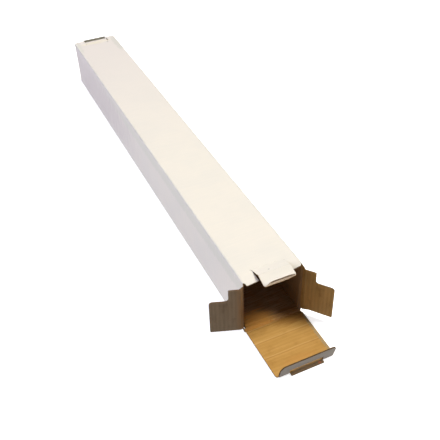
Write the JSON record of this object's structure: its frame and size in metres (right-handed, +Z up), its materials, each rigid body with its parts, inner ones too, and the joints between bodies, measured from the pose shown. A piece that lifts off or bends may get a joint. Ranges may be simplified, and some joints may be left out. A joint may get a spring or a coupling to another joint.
{
  "type": "long cardboard shipping box",
  "caption": "Long square cardboard shipping box with a white outer liner, shown with its near end unfolded and its far end locked shut.",
  "frame": {"origin": "centre of the base's underside, halfway along the closed box's outer length", "axes": "+Z up, +Y along the box from its open end to its closed end, +X across it"},
  "size_m": [0.1914, 1.0963, 0.1155],
  "materials": {
    "white_lined_board": "matte",
    "flap_board": "matte"
  },
  "bodies": {
    "carton": {"carton_body": "white_lined_board"},
    "left_dust_flap": {"left_dust_flap": "flap_board"},
    "right_dust_flap": {"right_dust_flap": "flap_board"},
    "end_flap": {"end_flap": "flap_board"},
    "tuck_lip": {"tuck_lip": "flap_board"},
    "lock_tongue_root": {"lock_tongue_root": "white_lined_board"},
    "lock_tongue_tip": {"lock_tongue_tip": "white_lined_board"}
  },
  "joints": [
    {"name": "left_dust_hinge", "type": "hinge", "parent": "carton", "child": "left_dust_flap", "pos_m": [-0.053, -0.49, 0.05], "axis": [0, 0, -1], "range_deg": [-200, 55]},
    {"name": "right_dust_hinge", "type": "hinge", "parent": "carton", "child": "right_dust_flap", "pos_m": [0.053, -0.4933, 0.05], "axis": [0, 0, 1], "range_deg": [-128, 127]},
    {"name": "end_flap_hinge", "type": "hinge", "parent": "carton", "child": "end_flap", "pos_m": [0, -0.4966, 0], "axis": [1, 0, 0], "range_deg": [-90, 0]},
    {"name": "tuck_lip_fold", "type": "hinge", "parent": "end_flap", "child": "tuck_lip", "pos_m": [0, -0.5982, 0], "axis": [1, 0, 0], "range_deg": [-27, 0]},
    {"name": "tongue_root_flex", "type": "hinge", "parent": "carton", "child": "lock_tongue_root", "pos_m": [0.0004, -0.469, 0.1045], "axis": [1, 0, 0], "range_deg": [0, 16]},
    {"name": "tongue_crease", "type": "hinge", "parent": "lock_tongue_root", "child": "lock_tongue_tip", "pos_m": [0.0004, -0.49032, 0.10959], "axis": [1, 0, 0], "range_deg": [0, 83.5]}
  ],
  "couplings": [
    {"joint": "tuck_lip_fold", "follows": "end_flap_hinge", "ratio": 0.3},
    {"joint": "tongue_crease", "follows": "tongue_root_flex", "ratio": 5.2188}
  ]
}
